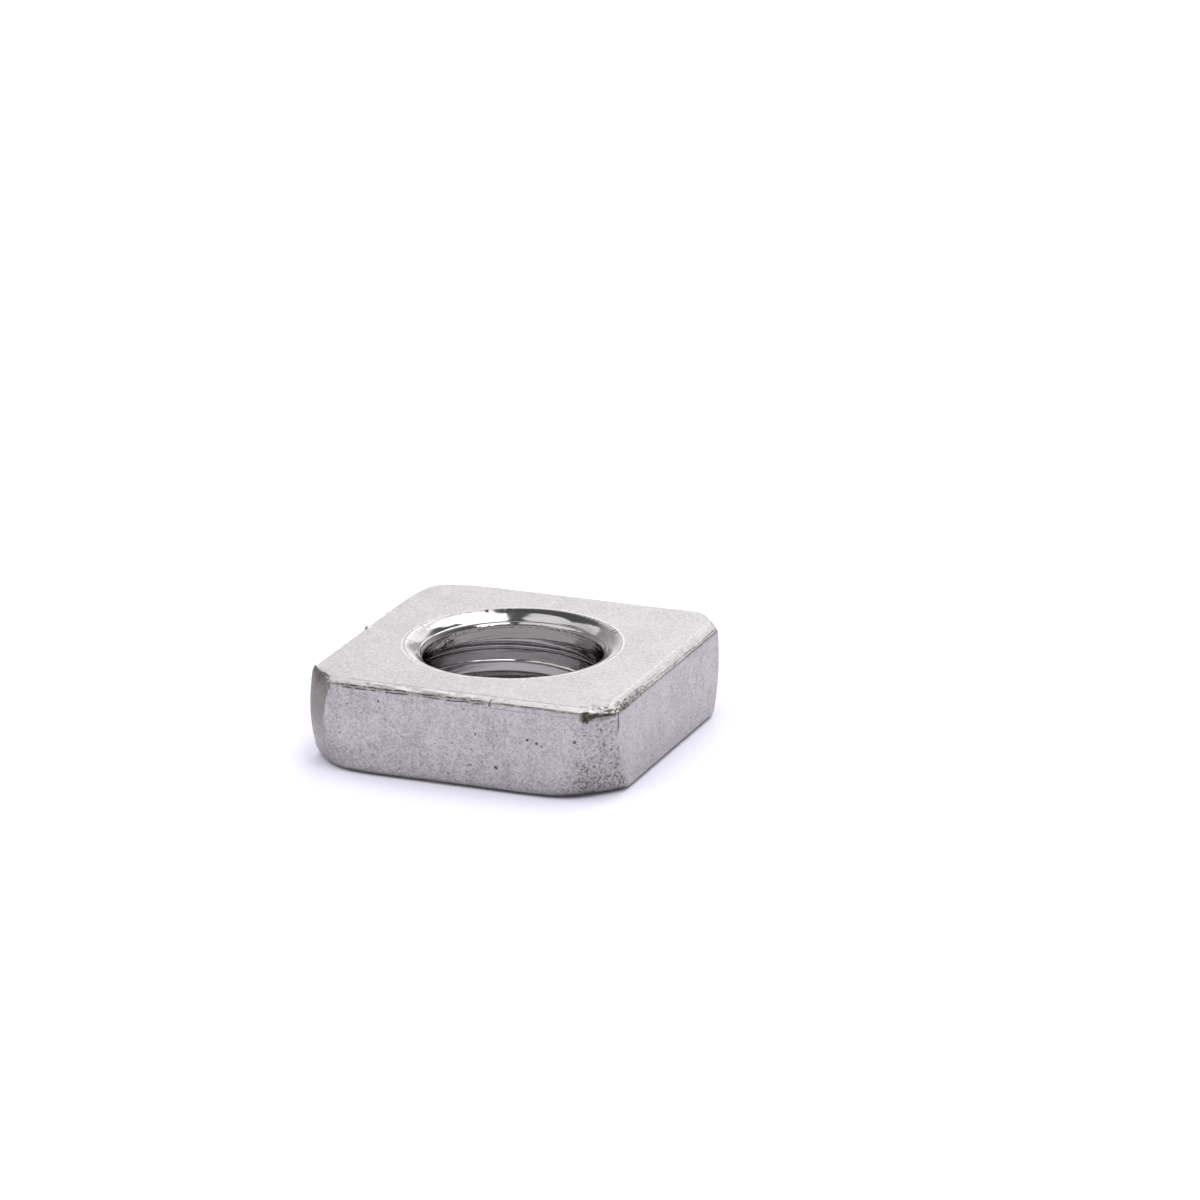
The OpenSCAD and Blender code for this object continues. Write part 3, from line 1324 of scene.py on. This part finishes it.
@dataclass
class Studio:
    """White table, soft sky and softboxes, laid out round the camera's line of sight.

    A pair of heights or of ways aside gives the limits between which a part of the sky fades, as shares of
    its radius.
    """

    view: Viewpoint
    table_side: float = 3.0
    table_gap: float = 0.00002
    table_white: Rgba = (0.88, 0.87, 0.92, 1.0)
    table_glow: float = 0.5
    table_glow_in_metal: float = 0.24
    table_tint: Rgba = (0.82, 0.79, 1.0, 1.0)
    contact_reach: float = 0.006
    contact_samples: int = 3
    contact_edge: Pair = (0.36, 0.6)
    air: Rgba = (1.0, 0.985, 0.995, 1.0)
    room_glow: float = 0.5
    ceiling_glow: float = 0.12
    wall_glow: float = 1.1
    lamp_glow: float = 1.05
    ceiling_heights: Pair = (0.2, 0.75)
    wall_heights: Pair = (0.53, 0.63)
    wall_distance: Pair = (0.1, 1.1)
    wall_low: float = 0.85
    wall_gain: float = 0.35
    wall_gain_heights: Pair = (0.3, 0.5)
    wall_left: Pair = (-0.3, 0.02)
    wall_left_share: float = 0.2
    wall_right: Pair = (0.12, 0.27)
    wall_right_loss: float = 0.85
    lamp_right: float = 0.324
    lamp_back: float = 0.763
    lamp_up: float = 0.559
    lamp_edge: Pair = (0.94, 0.966)
    softbox_height: float = 0.6
    softboxes: tuple[Softbox, ...] = (
        Softbox("softbox_right", 0.205, -0.11, (0.35, 0.58), 2.5),
        Softbox("softbox_back", 0.26, 0.4, (0.4, 0.44), 1.9),
        Softbox("softbox_left", -0.41, -0.1, (0.64, 0.6), 1.05),
        Softbox("softbox_back_left", -0.6, 0.475, (0.4, 0.55), 0.9),
    )

    def _glow(self, tree: Tree) -> Field:
        """Gives the table's glow for camera, mirror and glass rays, none where the nut closes it in.

        Args:
            tree: The table's tree.

        Returns:
            The glow.
        """
        path = tree.node("ShaderNodeLightPath")
        seen = Field(tree, path.outputs["Is Camera Ray"]) + Field(tree, path.outputs["Is Transmission Ray"])
        glow = seen * self.table_glow + Field(tree, path.outputs["Is Glossy Ray"]) * self.table_glow_in_metal
        reach = {"Distance": self.contact_reach}
        open_share = tree.value("ShaderNodeAmbientOcclusion", reach, "AO", samples=self.contact_samples)
        return glow * tree.step(open_share, *self.contact_edge)

    def table(self) -> bpy.types.Object:
        """Makes the white table, which keeps the nut's shadow.

        Returns:
            The table.
        """
        mesh = bpy.data.meshes.new("table")
        half = self.table_side / 2
        corners = [(x * half, y * half, -self.table_gap) for x, y in ((-1, -1), (1, -1), (1, 1), (-1, 1))]
        mesh.from_pydata(corners, [], [(0, 1, 2, 3)])
        material = bpy.data.materials.new("white_table")
        tree = empty_tree(material)
        matt = tree.node("ShaderNodeBsdfDiffuse", {"Color": self.table_white})
        glow = tree.node("ShaderNodeEmission", {"Color": self.table_tint, "Strength": self._glow(tree)})
        both = tree.node("ShaderNodeAddShader", {0: matt.outputs[0], 1: glow.outputs[0]})
        tree.node("ShaderNodeOutputMaterial", {"Surface": both.outputs[0]})
        mesh.materials.append(material)
        return new_object("table", mesh)

    def _bearings(self) -> tuple[Vector, Vector]:
        """Gives the level directions to the right of the camera's view and away from the camera."""
        turn = math.radians(self.view.azimuth)
        return Vector((math.cos(turn), math.sin(turn), 0.0)), Vector((-math.sin(turn), math.cos(turn), 0.0))

    def sky(self) -> None:
        """Sets the room round the table: a dim ceiling, a lit wall low at the back, white to the camera."""
        world = bpy.data.worlds.new("studio")
        bpy.context.scene.world = world
        tree = empty_tree(world)
        way = tree.node("ShaderNodeTexCoord").outputs["Generated"]
        right, back = self._bearings()
        _, _, height = tree.separate(way)
        away = tree.vector("DOT_PRODUCT", way, back)
        aside = tree.vector("DOT_PRODUCT", way, right)
        wall = (1.0 - tree.step(height, *self.wall_heights)) * tree.step(away, *self.wall_distance)
        wall = wall * (self.wall_low + tree.step(height, *self.wall_gain_heights) * self.wall_gain)
        wall = wall * tree.mix(self.wall_left_share, 1.0, tree.step(aside, *self.wall_left))
        wall = wall * (1.0 - tree.step(aside, *self.wall_right) * self.wall_right_loss)
        room = tree.mix(self.room_glow, self.ceiling_glow, tree.step(height, *self.ceiling_heights))
        lamp_way = right * self.lamp_right + back * self.lamp_back + Vector((0.0, 0.0, self.lamp_up))
        lamp = tree.step(tree.vector("DOT_PRODUCT", way, lamp_way.normalized()), *self.lamp_edge)
        bright = room + wall * self.wall_glow + lamp * self.lamp_glow
        path = tree.node("ShaderNodeLightPath")
        strength = tree.mix(bright, 1.0, Field(tree, path.outputs["Is Camera Ray"]))
        light = tree.node("ShaderNodeBackground", {"Color": self.air, "Strength": strength})
        tree.node("ShaderNodeOutputWorld", {"Surface": light.outputs[0]})

    def hang(self, box: Softbox) -> None:
        """Hangs a softbox over the table, level and facing down.

        Args:
            box: The softbox.
        """
        lamp = bpy.data.lights.new(box.name, "AREA")
        lamp.shape = "RECTANGLE"
        lamp.size, lamp.size_y = box.size
        lamp.energy = box.glow * math.pi * box.size[0] * box.size[1]
        hung = new_object(box.name, lamp)
        right, back = self._bearings()
        hung.location = right * box.to_right + back * box.to_back + Vector((0.0, 0.0, self.softbox_height))
        hung.rotation_euler = (0.0, 0.0, math.radians(self.view.azimuth))


def main(frame: dict[str, Any]) -> None:
    """Builds the scene: camera, table, light and nut.
    """
    bpy.context.scene.view_settings.view_transform = "Standard"
    for item in frame["nodes"]:
        LOG.info("node of the packed model: %s", item)
    view = Viewpoint()
    view.build()
    studio = Studio(view)
    table = studio.table()
    studio.sky()
    for box in studio.softboxes:
        studio.hang(box)
    nut = SquareNut.from_frame(frame)
    body = nut.build(PickledSteel().make())
    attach(body, "root")
    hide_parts(NODE)
    LOG.info("piece %s rides on root", body.name)


if __name__ == "__main__":
    logging.basicConfig(level=logging.INFO)
    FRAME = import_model()
    main(FRAME)
